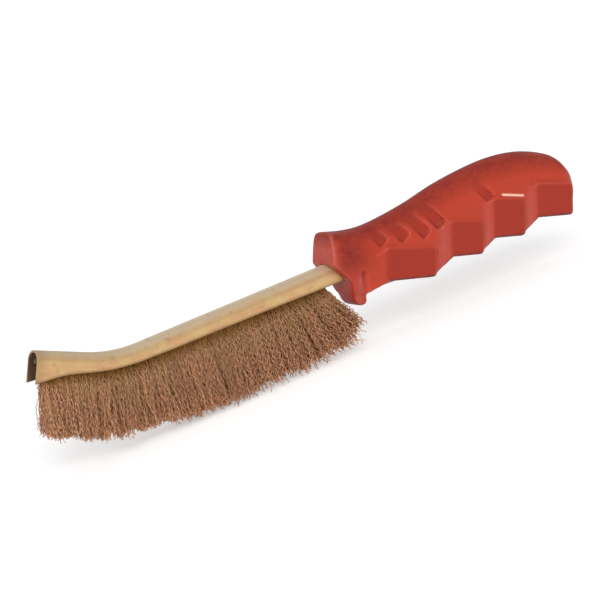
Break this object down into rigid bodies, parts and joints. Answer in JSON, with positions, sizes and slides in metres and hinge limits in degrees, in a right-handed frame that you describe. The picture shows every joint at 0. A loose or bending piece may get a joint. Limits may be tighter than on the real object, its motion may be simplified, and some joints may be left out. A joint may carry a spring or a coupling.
{
  "type": "wire brush",
  "caption": "Hand wire scratch brush: a moulded finger-grip handle on a folded sheet channel, bent up at the head, that holds a long row of crimped wire folded over a core wire.",
  "frame": {"origin": "middle of the brush's box, on the surface that its wire tips stand on", "axes": "+X along the straight run of the channel from the head to the butt of the handle, +Z from the wire tips to the channel's back, +Y across the brush"},
  "size_m": [0.268, 0.0206, 0.0543],
  "materials": {
    "red_plastic": "satin",
    "brass_plate": "satin",
    "core_steel": "satin",
    "coppered_wire": "satin"
  },
  "bodies": {
    "root": {"handle": "red_plastic", "channel": "brass_plate", "core_wire": "core_steel", "wire_tuft_01": "coppered_wire", "wire_tuft_02": "coppered_wire", "wire_tuft_03": "coppered_wire", "wire_tuft_04": "coppered_wire", "wire_tuft_05": "coppered_wire", "wire_tuft_06": "coppered_wire", "wire_tuft_07": "coppered_wire", "wire_tuft_08": "coppered_wire", "wire_tuft_09": "coppered_wire", "wire_tuft_10": "coppered_wire", "wire_tuft_11": "coppered_wire", "wire_tuft_12": "coppered_wire", "wire_tuft_13": "coppered_wire", "wire_tuft_14": "coppered_wire", "wire_tuft_15": "coppered_wire", "wire_tuft_16": "coppered_wire", "wire_tuft_17": "coppered_wire", "wire_tuft_18": "coppered_wire", "wire_tuft_19": "coppered_wire", "wire_tuft_20": "coppered_wire", "wire_tuft_21": "coppered_wire", "wire_tuft_22": "coppered_wire", "wire_tuft_23": "coppered_wire", "wire_tuft_24": "coppered_wire"}
  },
  "joints": []
}
